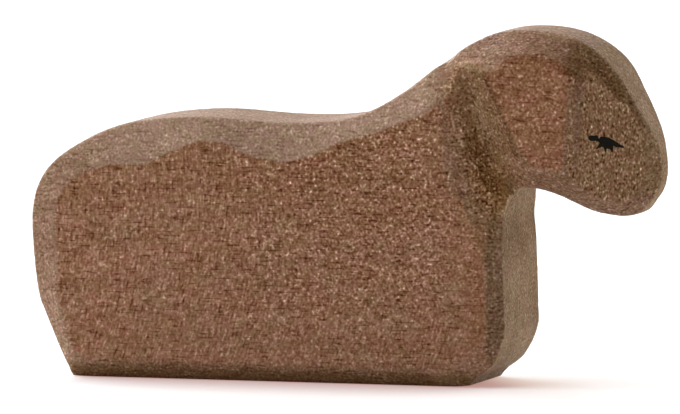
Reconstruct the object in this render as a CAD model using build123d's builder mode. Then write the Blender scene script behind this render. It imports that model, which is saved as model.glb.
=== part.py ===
"""A carved wooden sheep figurine, sawn from one board, bevelled with a knife and stained brown.

Frame: millimetres, +X towards the nose, +Z up, the origin under the middle of the figure, on the floor.
The board's two faces are at +Y and -Y, and the carving is the same on both.
"""

import os
from math import hypot

from build123d import *

# Overall sizes of the sawn silhouette
OVERALL_LENGTH = 100.0
BOARD_THICKNESS = 22.0
CROWN_HEIGHT = 55.4
BACK_HEIGHT = 40.94

# Rear of the silhouette: insets forward from the rump, drops down from the back
BASE_INSET = 6.45
HOCK_INSET = 1.55
HOCK_HEIGHT = 11.4
HIP_INSET = 0.5
RUMP_DROP = 16.64
HAUNCH_INSET = 1.9
HAUNCH_DROP = 9.44
LOIN_INSET = 7.0
LOIN_DROP = 4.95
CROUP_DROP = 1.64
RIBS_DROP = 0.42
SADDLE_DROP = 0.56

# Front of the silhouette: setbacks back from the nose, drops down from the crown, but the chin's from
# the nose, and rises: the withers' above the back, the bridge's and nostril's above the nose, and the
# jaw's and throat's above the chin
WITHERS_SETBACK = 46.0
WITHERS_RISE = 1.2
NECK_DROP = 8.98
NAPE_SETBACK = 31.2
NAPE_DROP = 3.33
CREST_SETBACK = 26.1
CREST_DROP = 0.7
CROWN_SETBACK = 20.5
POLL_SETBACK = 12.6
POLL_DROP = 1.4
BROW_SETBACK = 7.2
BROW_DROP = 5.3
BRIDGE_SETBACK = 3.35
BRIDGE_RISE = 9.7
NOSTRIL_SETBACK = 0.6
NOSTRIL_RISE = 4.1
NOSE_DROP = 21.3
LIP_SETBACK = 1.5
CHIN_SETBACK = 5.8
CHIN_DROP = 7.5
JAW_SETBACK = 12.4
JAW_RISE = 1.9
THROAT_SETBACK = 21.4
THROAT_RISE = 4.4
THROAT_RADIUS = 2.35
BREAST_SWELL = 0.68
TOE_HEIGHT = 9.0
TOE_RUN = 5.1
TOE_BULGE_RUN = 1.8
TOE_BULGE_HEIGHT = 3.8

# Places between two ends: the hip from hock to rump, the back's points from rump to withers, the neck
# from withers to nape and the lip from nose to chin
HIP_PLACE = 0.42
CROUP_PLACE = 0.26
RIBS_PLACE = 0.38
BACK_TOP_PLACE = 0.51
SADDLE_PLACE = 0.75
NECK_PLACE = 0.5
LIP_PLACE = 0.7

# Bevels of the body: how deep they cut the sawn edge and how far they reach over the board's face
BODY_EDGE_DEPTH = 1.6
NECK_EDGE_DEPTH = 2.6
NAPE_EDGE_DEPTH = 4.2
CHEST_EDGE_DEPTH = 1.3
TOE_EDGE_DEPTH = 2.6
FOOT_REACH = 2.2
HOCK_REACH = 3.4
RUMP_REACH = 4.3
LOIN_REACH = 4.3
SCALLOP_SIDE_REACH = 5.3
REAR_SCALLOP_REACH = 7.1
LOBE_REACH = 3.4
FRONT_SCALLOP_REACH = 6.2
NECK_REACH = 4.9
NAPE_REACH = 3.4
CHEST_REACH = 2.5
TOE_REACH = 3.4
BASE_BEVEL = 2.0

# Flat strip left round the head between its bevels, as half widths, and those bevels' slopes
CROWN_STRIP = 5.4
BRIDGE_STRIP = 4.5
NOSE_STRIP = 1.9
CHIN_STRIP = 3.6
JAW_STRIP = 6.4
THROAT_STRIP = 7.2
CROWN_REACH = 3.7
HEAD_BEVEL_REACH = 2.6
HEAD_BEVEL_RISE = 3.2
JAW_BEVEL_REACH = 3.6
JAW_BEVEL_RISE = 4.4

# Wedge of the face, from the step at the ear's front edge to the nose
EAR_FRONT_SETBACK = 12.0
EAR_FRONT_LEAN = 1.2
EAR_STEP = 1.4
EAR_STEP_RUN = 0.8
NOSE_HALF_WIDTH = 3.0

# Hollow between neck and ear: setbacks of the ear's rear edge from the nose, runs back from there to the
# valley, the break of slope and the shoulder, depths below the board's face, and the place of its bend
# from the throat to the top
HOLLOW_TOP_DROP = 4.4
HOLLOW_TOP_EAR = 27.0
HOLLOW_TOP_VALLEY_RUN = 3.6
HOLLOW_TOP_DEPTH = 1.2
HOLLOW_TOP_BREAK_RUN = 1.0
HOLLOW_TOP_BREAK_DEPTH = 0.4
HOLLOW_TOP_SHOULDER_RUN = 1.4
HOLLOW_BEND_PLACE = 0.25
HOLLOW_BEND_EAR = 19.9
HOLLOW_BEND_VALLEY_RUN = 7.0
HOLLOW_BEND_DEPTH = 4.3
HOLLOW_BEND_BREAK_RUN = 1.9
HOLLOW_BEND_BREAK_DEPTH = 1.0
HOLLOW_BEND_SHOULDER_RUN = 3.4
HOLLOW_THROAT_EAR = 16.4
HOLLOW_THROAT_VALLEY_RUN = 7.0
HOLLOW_THROAT_DEPTH = 5.5
HOLLOW_THROAT_BREAK_RUN = 2.8
HOLLOW_THROAT_BREAK_DEPTH = 1.2
HOLLOW_THROAT_SHOULDER_RUN = 5.8
HOLLOW_END_HEIGHT = 19.0
HOLLOW_END_SHARE = 0.9

# Painted eye: a drooping lid stroke, a pupil under it and three brush tips
EYE_SETBACK = 7.6
EYE_DROP = 17.0
LID_REAR_RUN = 2.7
LID_REAR_RISE = 1.3
LID_FRONT_RUN = 3.1
LID_FRONT_DROP = 0.85
LID_ARCH = 0.85
LID_BLUNT_END = 0.7
LID_UNDERSIDE = 0.2
PUPIL_RADIUS = 1.05
PUPIL_DROP = 0.25
TIP_ANGLES = (208, 266, 308)
TIP_LENGTH = 1.55
TIP_WIDTH = 1.0
PAINT_THICKNESS = 0.12

# How far the cutting shapes stand out past the wood, and run on past the end of a slope
CUT_MARGIN = 3.0
CUT_OVERRUN = 1.15

os.makedirs("parts", exist_ok=True)

half = BOARD_THICKNESS / 2
cut_face = half + CUT_MARGIN
rump_x = -OVERALL_LENGTH / 2
nose_x = OVERALL_LENGTH / 2


def rear(inset, height):
    """Point of the silhouette, a distance forward of the rump."""
    return (rump_x + inset, height)


def front(setback, drop):
    """Point of the silhouette, a distance behind the nose and below the crown."""
    return (nose_x - setback, CROWN_HEIGHT - drop)


def back(place, drop):
    """Point of the silhouette at a place from 0 at the rump to 1 at the withers, below the back."""
    return rear(place * (OVERALL_LENGTH - WITHERS_SETBACK), BACK_HEIGHT - drop)


# Points where the silhouette changes its course
base_rear = rear(BASE_INSET, 0)
hock = rear(HOCK_INSET, HOCK_HEIGHT)
rump = rear(0, BACK_HEIGHT - RUMP_DROP)
hip_height = HOCK_HEIGHT + HIP_PLACE * (rump[1] - HOCK_HEIGHT)
back_top = back(BACK_TOP_PLACE, 0)
saddle_low = back(SADDLE_PLACE, SADDLE_DROP)
crown = front(CROWN_SETBACK, 0)
neck_setback = WITHERS_SETBACK + NECK_PLACE * (NAPE_SETBACK - WITHERS_SETBACK)
chin_drop = NOSE_DROP + CHIN_DROP
nose = front(0, NOSE_DROP)
lip = front(LIP_SETBACK, NOSE_DROP + LIP_PLACE * CHIN_DROP)
chin = front(CHIN_SETBACK, chin_drop)
throat = front(THROAT_SETBACK, chin_drop - THROAT_RISE)
breast_x = throat[0] - THROAT_RADIUS
breast_top = (breast_x, throat[1] - THROAT_RADIUS)
toe = (breast_x + BREAST_SWELL, TOE_HEIGHT)
base_front = (breast_x - TOE_RUN, 0)
leg_slope = (hock[0] - base_rear[0], hock[1] - base_rear[1])

# The board, sawn to the silhouette, with its two long base edges bevelled
with BuildPart() as blank:
    with BuildSketch(Plane.XZ):
        with BuildLine():
            leg = Line(base_rear, hock)
            hip = Spline(hock, rear(HIP_INSET, hip_height), rump, tangents=(leg_slope, (0, 1)))
            haunch = Spline(
                rump,
                rear(HAUNCH_INSET, BACK_HEIGHT - HAUNCH_DROP),
                rear(LOIN_INSET, BACK_HEIGHT - LOIN_DROP),
                back(CROUP_PLACE, CROUP_DROP),
                back(RIBS_PLACE, RIBS_DROP),
                back_top,
                tangents=((0, 1), (1, 0)),
                tangent_scalars=(1, 1),
            )
            saddle = Spline(back_top, saddle_low, tangents=((1, 0), (1, 0)))
            nape = Spline(
                saddle_low,
                (nose_x - WITHERS_SETBACK, BACK_HEIGHT + WITHERS_RISE),
                front(neck_setback, NECK_DROP),
                front(NAPE_SETBACK, NAPE_DROP),
                front(CREST_SETBACK, CREST_DROP),
                crown,
                tangents=((1, 0), (1, 0)),
                tangent_scalars=(1, 1),
            )
            brow = Spline(
                crown,
                front(POLL_SETBACK, POLL_DROP),
                front(BROW_SETBACK, BROW_DROP),
                front(BRIDGE_SETBACK, NOSE_DROP - BRIDGE_RISE),
                front(NOSTRIL_SETBACK, NOSE_DROP - NOSTRIL_RISE),
                nose,
                tangents=((1, 0), (0, -1)),
                tangent_scalars=(1, 1),
            )
            muzzle = Spline(nose, lip, chin, tangents=((0, -1), (-1, 0)))
            jaw = Spline(
                chin,
                front(JAW_SETBACK, chin_drop - JAW_RISE),
                throat,
                tangents=((-1, 0), (-1, 0)),
            )
            RadiusArc(throat, breast_top, -THROAT_RADIUS)
            breast = Line(breast_top, toe)
            foot = Spline(
                toe,
                (breast_x - TOE_BULGE_RUN, TOE_BULGE_HEIGHT),
                base_front,
                tangents=((0, -1), (-1, -1)),
            )
            Line(base_front, base_rear)
        make_face()
    extrude(amount=half, both=True)
    chamfer(blank.faces().sort_by(Axis.Z)[0].edges().filter_by(Axis.X), BASE_BEVEL)


def upright(flat):
    """Stand a vector of the flat silhouette up in the XZ plane."""
    return Vector(flat.X, 0, flat.Y)


def bevel_slice(curve, place, strip, reach, rise, overrun=0):
    """Slice of a bevel cut on the -Y side, square to the silhouette at a place from 0 to 1 along a curve.

    The slope starts at a half width of strip on the sawn edge, and rises outwards as it reaches inwards.
    """
    along = upright(curve % place)
    outward = Vector(-along.Z, 0, along.X)
    point = upright(curve @ place) + along * overrun
    slope_end = strip + rise * CUT_OVERRUN
    clear = max(half, slope_end) + CUT_MARGIN
    with BuildSketch(Plane(point, x_dir=outward, z_dir=along)) as section:
        Polygon(
            (CUT_MARGIN, strip - CUT_MARGIN * rise / reach),
            (CUT_MARGIN, clear),
            (-reach * CUT_OVERRUN, clear),
            (-reach * CUT_OVERRUN, slope_end),
            align=None,
        )
    return section.sketch


def body_slice(curve, place, depth, reach, overrun=0):
    """Bevel slice whose slope ends on the board's own face."""
    return bevel_slice(curve, place, half - depth, reach, depth, overrun)


def head_run(curve, places, first_strip, last_strip, reach=HEAD_BEVEL_REACH, rise=HEAD_BEVEL_RISE):
    """Bevel slices at evenly changing strip widths, one for each place."""
    change = (last_strip - first_strip) / (len(places) - 1)
    return [bevel_slice(curve, place, first_strip + i * change, reach, rise) for i, place in enumerate(places)]


# Knife cuts up the rump, over the back in two scallops, along the neck and round the head to the throat
crest_slices = [
    body_slice(leg, 0, BODY_EDGE_DEPTH, FOOT_REACH, -CUT_MARGIN),
    body_slice(leg, 0.5, BODY_EDGE_DEPTH, FOOT_REACH),
    body_slice(leg, 1, BODY_EDGE_DEPTH, HOCK_REACH),
    body_slice(hip, 0.5, BODY_EDGE_DEPTH, RUMP_REACH),
    body_slice(haunch, 0, BODY_EDGE_DEPTH, RUMP_REACH),
    body_slice(haunch, 0.12, BODY_EDGE_DEPTH, RUMP_REACH),
    body_slice(haunch, 0.24, BODY_EDGE_DEPTH, RUMP_REACH),
    body_slice(haunch, 0.36, BODY_EDGE_DEPTH, LOIN_REACH),
    body_slice(haunch, 0.54, BODY_EDGE_DEPTH, SCALLOP_SIDE_REACH),
    body_slice(haunch, 0.72, BODY_EDGE_DEPTH, REAR_SCALLOP_REACH),
    body_slice(haunch, 0.86, BODY_EDGE_DEPTH, SCALLOP_SIDE_REACH),
    body_slice(saddle, 0.02, BODY_EDGE_DEPTH, LOBE_REACH),
    body_slice(saddle, 0.32, BODY_EDGE_DEPTH, LOBE_REACH),
    body_slice(saddle, 0.66, BODY_EDGE_DEPTH, SCALLOP_SIDE_REACH),
    body_slice(nape, 0.02, BODY_EDGE_DEPTH, FRONT_SCALLOP_REACH),
    body_slice(nape, 0.11, BODY_EDGE_DEPTH, SCALLOP_SIDE_REACH),
    body_slice(nape, 0.21, BODY_EDGE_DEPTH, LOBE_REACH),
    body_slice(nape, 0.34, BODY_EDGE_DEPTH, LOBE_REACH),
    body_slice(nape, 0.52, NECK_EDGE_DEPTH, NECK_REACH),
    body_slice(nape, 0.65, NECK_EDGE_DEPTH, NECK_REACH),
    body_slice(nape, 0.76, NAPE_EDGE_DEPTH, NAPE_REACH),
    *head_run(nape, (0.88, 0.94), CROWN_STRIP, CROWN_STRIP, CROWN_REACH, half - CROWN_STRIP),
    *head_run(brow, (0.02, 0.12, 0.22, 0.32, 0.41), CROWN_STRIP, CROWN_STRIP, CROWN_REACH, half - CROWN_STRIP),
    *head_run(brow, (0.48, 0.54, 0.6), CROWN_STRIP, BRIDGE_STRIP),
    *head_run(brow, (0.68, 0.76, 0.84, 0.92), BRIDGE_STRIP, NOSE_STRIP),
    *head_run(muzzle, (0, 0.2, 0.4), NOSE_STRIP, NOSE_STRIP),
    *head_run(muzzle, (0.5, 0.6, 0.7, 0.8, 0.9, 1), NOSE_STRIP, CHIN_STRIP),
    *head_run(jaw, (0.1, 0.2, 0.3, 0.45), CHIN_STRIP, JAW_STRIP),
    *head_run(jaw, (0.6, 0.8, 1), JAW_STRIP, THROAT_STRIP, JAW_BEVEL_REACH, JAW_BEVEL_RISE),
]
with BuildPart() as crest_cut:
    loft(crest_slices, ruled=True)

# Knife cuts down the breast and round the toe
breast_slices = [
    body_slice(breast, 0, CHEST_EDGE_DEPTH, CHEST_REACH),
    body_slice(breast, 1, CHEST_EDGE_DEPTH, CHEST_REACH),
    body_slice(foot, 0.3, CHEST_EDGE_DEPTH, CHEST_REACH),
    body_slice(foot, 0.6, TOE_EDGE_DEPTH, TOE_REACH),
    body_slice(foot, 1, TOE_EDGE_DEPTH, TOE_REACH),
    body_slice(foot, 1, TOE_EDGE_DEPTH, TOE_REACH, CUT_MARGIN),
]
with BuildPart() as breast_cut:
    loft(breast_slices, ruled=True)


def hollow_slice(height, ear_x, valley_run, valley_depth, break_run, break_depth, shoulder_run):
    """Level slice of the hollow, back from the ear's rear edge: valley, break of slope and shoulder."""
    valley_x = ear_x - valley_run
    break_x = valley_x - break_run
    shoulder_x = break_x - shoulder_run
    with BuildSketch(Plane.XY.offset(height)) as section:
        Polygon(
            (shoulder_x, -cut_face),
            (shoulder_x, -half),
            (break_x, break_depth - half),
            (valley_x, valley_depth - half),
            (ear_x, -half),
            (ear_x, -cut_face),
            align=None,
        )
    return section.sketch


# Hollow between neck and ear, deepest at the throat, that runs out in the breast's bevel
end_reach = CHEST_REACH * HOLLOW_END_SHARE
end_depth = CHEST_EDGE_DEPTH * HOLLOW_END_SHARE
hollow_top = CROWN_HEIGHT - HOLLOW_TOP_DROP
hollow_bend = throat[1] + HOLLOW_BEND_PLACE * (hollow_top - throat[1])
throat_ear_x = nose_x - HOLLOW_THROAT_EAR
hollow_slices = [
    hollow_slice(
        hollow_top,
        nose_x - HOLLOW_TOP_EAR,
        HOLLOW_TOP_VALLEY_RUN,
        HOLLOW_TOP_DEPTH,
        HOLLOW_TOP_BREAK_RUN,
        HOLLOW_TOP_BREAK_DEPTH,
        HOLLOW_TOP_SHOULDER_RUN,
    ),
    hollow_slice(
        hollow_bend,
        nose_x - HOLLOW_BEND_EAR,
        HOLLOW_BEND_VALLEY_RUN,
        HOLLOW_BEND_DEPTH,
        HOLLOW_BEND_BREAK_RUN,
        HOLLOW_BEND_BREAK_DEPTH,
        HOLLOW_BEND_SHOULDER_RUN,
    ),
    hollow_slice(
        throat[1],
        throat_ear_x,
        HOLLOW_THROAT_VALLEY_RUN,
        HOLLOW_THROAT_DEPTH,
        HOLLOW_THROAT_BREAK_RUN,
        HOLLOW_THROAT_BREAK_DEPTH,
        HOLLOW_THROAT_SHOULDER_RUN,
    ),
    hollow_slice(
        HOLLOW_END_HEIGHT,
        throat_ear_x,
        throat_ear_x - breast_x,
        end_depth,
        end_reach / 2,
        end_depth / 2,
        end_reach / 2,
    ),
]
with BuildPart() as hollow_cut:
    loft(hollow_slices, ruled=True)

# Plane of the face: it runs from the foot of the ear's step to the nose
face_run = EAR_FRONT_SETBACK - EAR_STEP_RUN
face_fall = half - EAR_STEP - NOSE_HALF_WIDTH
face_length = hypot(face_run, face_fall)
face_forward = Vector(face_run, face_fall, 0) / face_length
face_outward = Vector(face_fall, -face_run, 0) / face_length


def face_y(x):
    """Where the flat of the face on the -Y side stands at a place along the length."""
    return -NOSE_HALF_WIDTH - (nose_x - x) * face_fall / face_run


def face_slice(height, ear_x):
    """Level slice of the face cut: the ear's step and the flat of the face."""
    step_x = ear_x + EAR_STEP_RUN
    end_x = nose_x + CUT_MARGIN
    with BuildSketch(Plane.XY.offset(height)) as section:
        Polygon(
            (ear_x, -cut_face),
            (ear_x, -half),
            (step_x, face_y(step_x)),
            (end_x, face_y(end_x)),
            (end_x, -cut_face),
            align=None,
        )
    return section.sketch


# Flat of the face, cut down from the ear's front edge, which leans forward towards the crown
face_slices = [
    face_slice(CROWN_HEIGHT + CUT_MARGIN, nose_x - EAR_FRONT_SETBACK + EAR_FRONT_LEAN),
    face_slice(chin[1] - CUT_MARGIN, nose_x - EAR_FRONT_SETBACK - EAR_FRONT_LEAN),
]
with BuildPart() as face_cut:
    loft(face_slices, ruled=True)

# The carved body: the same cuts on both faces of the board
with BuildPart() as wooden_body:
    add(blank.part)
    for cut in (crest_cut, breast_cut, hollow_cut, face_cut):
        add(cut.part, mode=Mode.SUBTRACT)
        mirror(cut.part, about=Plane.XZ, mode=Mode.SUBTRACT)

# The eyes, brushed on the flats of the face
eye_x = nose_x - EYE_SETBACK
eye_centre = Vector(eye_x, face_y(eye_x), CROWN_HEIGHT - EYE_DROP)
lid_rear_top = (-LID_REAR_RUN, LID_REAR_RISE)
lid_rear_bottom = (-LID_REAR_RUN, LID_REAR_RISE - LID_BLUNT_END)
lid_front = (LID_FRONT_RUN, -LID_FRONT_DROP)

with BuildPart() as right_eye:
    with BuildSketch(Plane(eye_centre, x_dir=face_forward, z_dir=face_outward)):
        with BuildLine():
            ThreePointArc(lid_rear_top, (0, LID_ARCH), lid_front)
            ThreePointArc(lid_front, (0, -LID_UNDERSIDE), lid_rear_bottom)
            Line(lid_rear_bottom, lid_rear_top)
        make_face()
        with Locations((0, -PUPIL_DROP)):
            Circle(PUPIL_RADIUS)
        for angle in TIP_ANGLES:
            with Locations(Location((0, -PUPIL_DROP), angle)):
                Polygon((0, -TIP_WIDTH / 2), (TIP_LENGTH, 0), (0, TIP_WIDTH / 2), align=None)
    extrude(amount=PAINT_THICKNESS)

with BuildPart() as left_eye:
    mirror(right_eye.part, about=Plane.XZ)

for name, piece in (("wooden_body", wooden_body), ("right_eye", right_eye), ("left_eye", left_eye)):
    piece.part.label = name
    export_step(piece.part, f"parts/{name}.step")
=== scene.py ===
"""Looks of the carved wooden sheep: softened knife cuts, stained wood and brushed eyes, in a white studio.

The figure stands in the frame of its CAD model: +X towards the nose, +Z up, the origin on the floor.
Blender's own units are metres. Shapes are worked out in millimetres and scaled at the end.
A pair of numbers named as a start, end, rise, fall or turn is the two ends of a smooth change.
"""

import itertools
import math
from types import SimpleNamespace

import bpy
import numpy as np
from mathutils import Matrix, Vector
from mathutils.bvhtree import BVHTree


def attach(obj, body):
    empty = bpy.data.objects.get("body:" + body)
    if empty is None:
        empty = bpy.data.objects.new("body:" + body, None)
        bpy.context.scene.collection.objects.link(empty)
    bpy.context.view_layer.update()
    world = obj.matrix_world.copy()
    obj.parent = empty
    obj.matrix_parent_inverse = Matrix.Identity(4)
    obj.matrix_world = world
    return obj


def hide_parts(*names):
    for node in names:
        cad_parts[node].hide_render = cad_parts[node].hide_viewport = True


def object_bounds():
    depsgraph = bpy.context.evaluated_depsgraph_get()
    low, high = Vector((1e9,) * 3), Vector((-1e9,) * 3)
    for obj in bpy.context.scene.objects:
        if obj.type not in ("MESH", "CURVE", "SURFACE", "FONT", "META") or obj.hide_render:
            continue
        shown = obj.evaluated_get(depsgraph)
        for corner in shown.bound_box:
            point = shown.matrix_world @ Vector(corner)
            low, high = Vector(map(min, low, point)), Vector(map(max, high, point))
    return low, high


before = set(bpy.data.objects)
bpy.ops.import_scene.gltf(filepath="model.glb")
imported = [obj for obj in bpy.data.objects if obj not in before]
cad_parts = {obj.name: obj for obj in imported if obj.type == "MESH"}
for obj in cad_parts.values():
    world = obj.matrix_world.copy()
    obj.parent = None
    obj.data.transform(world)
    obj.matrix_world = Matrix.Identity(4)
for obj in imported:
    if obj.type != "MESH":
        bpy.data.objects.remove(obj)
cad_low, cad_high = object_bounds()

MM = 0.001

# Camera: the photograph's angle, its distance, the point it looks at and its picture width there
CAMERA_AZIMUTH = 17.0
CAMERA_ELEVATION = 4.95
CAMERA_DISTANCE = 3000.0
CAMERA_TARGET = (-2.63, 0.0, 26.64)
PICTURE_WIDTH = 105.65
SENSOR_WIDTH = 36.0

# Soft boxes: name, azimuth, elevation and power, then what they share in metres, and the room's own light
LIGHTS = (
    ("back_left_box", -135, 22, 110.0),
    ("left_box", -90, 26, 85.0),
    ("front_left_box", -50, 50, 42.0),
    ("back_right_box", 150, 22, 22.0),
)
LIGHT_DISTANCE = 3.0
LIGHT_SIZE = 2.0
LIGHT_AIM = (0.0, 0.0, 0.03)
ROOM_LIGHT = 0.26

# Floor: half its width in metres, its colours as a light on the figure and as seen, and its shade's colour
FLOOR_REACH = 6.0
FLOOR_WHITE = (0.80, 0.80, 0.795)
FLOOR_GLOW = (0.655, 0.49, 0.42)
FLOOR_PAPER = (0.43, 0.57, 0.63)
FLOOR_SHADE = (0.24, 0.0, 0.0)

# Soft shade on the floor: how far it reaches, its share at the foot, and where it ends by the rump and toe
CONTACT_REACH = 30.0
CONTACT_SHADE = 0.48
CONTACT_OPEN = (0.45, 0.98)
CONTACT_RUMP = (-47.0, -39.0)
CONTACT_TOE = (18.0, 31.0)
CONTACT_SKEW = 0.8

# Carved surface: mesh pitch, rounds of sanding, and the depth and size of its unevenness
BODY_PITCH = 0.24
FLOOR_ROUNDS = 2
SANDING_ROUNDS = 9
HEAD_ROUNDS = 12
RELIEF_ROUNDS = 60
SOFT_ROUNDS = 170
EDGE_ROUNDS = 60
WAVE_DEPTH = 0.05
WAVE_SIZE = 8.0
FIBRE_DEPTH = 0.014
FIBRE_SIZE = (5.0, 0.55, 0.55)
FUZZ_DEPTH = 0.02
FUZZ_SIZE = 0.6
TEAR_DEPTH = 0.22
TEAR_SIZE = (0.7, 0.7, 1.5)
UNEVEN_START = (0.0, 0.6)

# Where the sanding differs: the foot's and the base bevel's heights, the head's X, and shares of soft turns
FOOT_EASE = (0.1, 1.2)
HEAD_START = (28.0, 34.0)
EAR_TOP_EASE = 0.5
EAR_FRONT_EASE = 0.55
BASE_EASE = 0.6
BASE_RISE = (1.0, 1.8)
BASE_FALL = (2.6, 4.2)

# Lines on the board's face, as X and Z of their two ends, and how far round them a mask reaches
SHOULDER_LINE = ((17.0, 51.0), (19.5, 27.0))
SHOULDER_REACH = 1.4
EAR_TOP_LINE = ((24.5, 51.6), (38.5, 50.6))
EAR_TOP_REACH = 1.1
EAR_FRONT_LINE = ((39.0, 50.0), (37.4, 30.0))
EAR_FRONT_REACH = 1.3
VALLEY_LINE = ((19.6, 48.5), (25.6, 29.5))
VALLEY_REACH = 3.2
TEAR_LINE = ((19.6, 42.5), (25.0, 28.5))
TEAR_REACH = 2.6
FACET_LINE = ((18.8, 46.5), (18.0, 41.5))
FACET_REACH = 1.8
RUN_LINE = ((22.6, 43.4), (23.6, 39.2))
RUN_REACH = 0.9

# Shade behind the ear's rear edge: that edge, the shade's change along it and its change across it
EAR_REAR_LINE = ((24.3, 49.0), (30.1, 34.6))
EAR_REAR_RISE = (-0.05, 0.08)
EAR_REAR_FALL = (0.85, 1.05)
EAR_SHADE_RISE = (-1.3, -0.25)
EAR_SHADE_FALL = (-0.05, 0.2)

# Touches of the knife on the profile: X and Z of the middle, reach along X and Z, and depth outwards
TOUCHES = (
    ((26.6, 29.4), (1.5, 2.4), 0.85),
    ((24.6, 3.7), (4.0, 1.3), 0.40),
    ((26.8, 7.0), (3.0, 1.3), -0.18),
    ((48.0, 28.8), (2.4, 1.7), -0.24),
    ((22.0, 0.8), (2.2, 1.0), -0.50),
    ((-43.6, 0.9), (1.2, 0.8), -0.30),
)
TOUCH_TURN = (0.15, 0.6)
# Painted highlight on the throat's edge: X and Z of its middle, and its reach
THROAT_HIGHLIGHT = (25.6, 29.0)
THROAT_HIGHLIGHT_REACH = 2.2

# Spots by the hollow made lighter or darker: X and Z of the middle, reach, and step; the first is painted light
# in the valley's shade
SPOTS = (
    ((21.3, 41.0), 2.6, 0.040),
    ((25.0, 30.4), 1.9, -0.065),
    ((22.4, 27.6), 1.5, 0.055),
)

# Chisel nicks beside the hollow, as X and Z of their top and bottom ends, and the groove with its lip
NICKS = (
    ((18.0, 34.8), (18.3, 27.2)),
    ((18.2, 43.0), (18.9, 40.6)),
    ((20.1, 31.4), (20.3, 27.0)),
    ((21.4, 45.4), (21.8, 43.2)),
)
NICK_DEPTH = 0.16
NICK_WIDTH = 0.22
NICK_TAPER = 0.6
NICK_WANDER = 0.25
NICK_WANDER_SIZE = 1.2
NICK_GROOVE = 0.7
NICK_LIP_PLACE = 1.5
NICK_BREAK_SIZE = 0.9
NICK_BREAK = (-0.15, 0.25)

# Front edge of the ear: its X at a height, that height, and its lean, and where the step before it ends
EAR_FRONT = (36.8, 23.6, 0.069)
EAR_STEP = (2.0, 3.6)
EAR_STEP_TOP = (46.5, 49.0)

# Arched top of the ear's stain: X and Z of its crest, half its width, and its fall there, and its soft edge
EAR_ARCH = (31.5, 52.0, 7.0, 2.8)
ARCH_EDGE = 0.4

# Turns of the surface, in parts of its unit normal, at which each kind of cut begins
CARVED_TURN = (0.004, 0.02)
STRIP_TURN = (0.55, 0.93)
FACE_TURN = (0.32, 0.46)
FACE_SIDE = (0.72, 0.82)
LEVEL_TURN = (0.20, 0.36)
SLOPE_TURN = (0.04, 0.12)
UPWARD_TURN = (0.03, 0.12)
TOP_TURN = (0.75, 0.95)
AHEAD_TURN = (-0.1, 0.2)

# Places along X and Z of the head's stain, and of its painted light and shade at the brow and the strip
FACE_START = (34.0, 36.5)
RIM_START = (35.5, 38.0)
RIM_TOP = (37.0, 44.0)
CHIN_RISE = (29.0, 32.0)
BROW_REAR = (23.5, 24.7)
BROW_FRONT = (38.2, 39.2)
BROW_RISE = (46.5, 48.5)
PALE_RISE = (32.0, 40.0)
HEAD_STRIP_START = (30.0, 34.0)
HEAD_STRIP_RISE = (36.0, 42.0)
EAR_START = (19.0, 24.0)
EAR_END = (33.0, 36.0)

# Places along X and Z of the neck's and the hollow's stain, of the painted light at the ridge, and of the pale
# colour and painted sheen on the back
SLOPE_START = (17.5, 19.0)
SLOPE_RISE = (27.0, 30.0)
SLOPE_FALL = (50.0, 51.5)
RIDGE_REAR = (19.0, 21.0)
RIDGE_FRONT = (25.5, 28.0)
RIDGE_RISE = (48.8, 49.6)
RIDGE_FALL = (50.6, 51.6)
NECK_REAR = (12.0, 15.0)
NECK_FRONT = (22.0, 26.0)
PALE_SHEEN_END = (14.0, 22.5)
TORN_END = (24.5, 26.0)
AHEAD_START = (20.0, 24.0)

# Places along X and Z of the breast's, the foot's and the rump's stain, and of their painted light and shade
BREAST_START = (14.0, 16.0)
BREAST_FALL = (24.0, 28.0)
BREAST_EDGE = (23.6, 24.7)
BREAST_RISE = (17.0, 25.0)
TOE_FALL = (5.0, 13.0)
FOOT_FALL = (1.0, 3.2)
RUMP_TOP_END = (-42.0, -30.0)
RUMP_END = (-40.0, -34.0)
RUMP_RISE = (0.5, 3.0)
RUMP_SHADE_END = (-42.0, -36.0)
RUMP_SHADE_RISE = (12.0, 20.0)
RUMP_SHADE_FALL = (33.0, 37.0)

# Shares of the pale colour and painted sheen on the rump, of the dark layer on the rim cuts and the painted
# shade at the foot, and of the hollow and its tears from the top
RUMP_TOP_LESS = 0.35
RUMP_PALE_SHEEN = 0.55
DARK_SHARE = 0.9
HOLLOW_TOP = 0.6
TORN_TOP = 0.4

# Stain that gathers on the flank below a bevel, and strips whose pale colour, with its painted light and sheen,
# spreads beside their own edge
BEVEL_SPREAD = 3.0
RICH_TOP = 0.45
RICH_RISE = (20.0, 33.0)
STRIP_SPREAD = 2.2

# How strongly the grain shows: less by these shares at the breast, foot and rump, and its share on each cut
CALM_BREAST = 0.28
CALM_BREAST_START = (12.0, 22.0)
CALM_FOOT = 0.16
CALM_FOOT_FALL = (6.0, 14.0)
CALM_RUMP = 0.15
CALM_RUMP_END = (-26.0, -8.0)
BUSY_SHARES = {"slant": 0.68, "pale_sheen": 0.55, "slope": 0.72, "face": 0.9, "strip": 0.5, "foot": 0.45}

# Saw marks: arcs of this radius, upright at this height, and where on the flank they show
SAW_RADIUS = 90.0
SAW_LEVEL = 32.0
SAWN_END = (-22.0, 8.0)
SAWN_FALL = (8.0, 18.0)
SAWN_LOW = 0.8

# Steps of seen brightness: painted light at the ridge, the flank's edge, the head's strip and the brow over the
# arch, painted shade at the facet, the rump and the brow under the arch, and plain lighter or darker steps at
# the run, the neck, the toe and the breast's top
TONES = {
    "run": 0.055,
    "facet": -0.05,
    "ridge": 0.08,
    "neck": -0.055,
    "rump": -0.04,
    "flank_edge": 0.05,
    "head_strip": 0.03,
    "brow_over_arch": 0.03,
    "brow_under_arch": -0.06,
    "toe": 0.06,
    "breast_top": -0.05,
}
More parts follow.
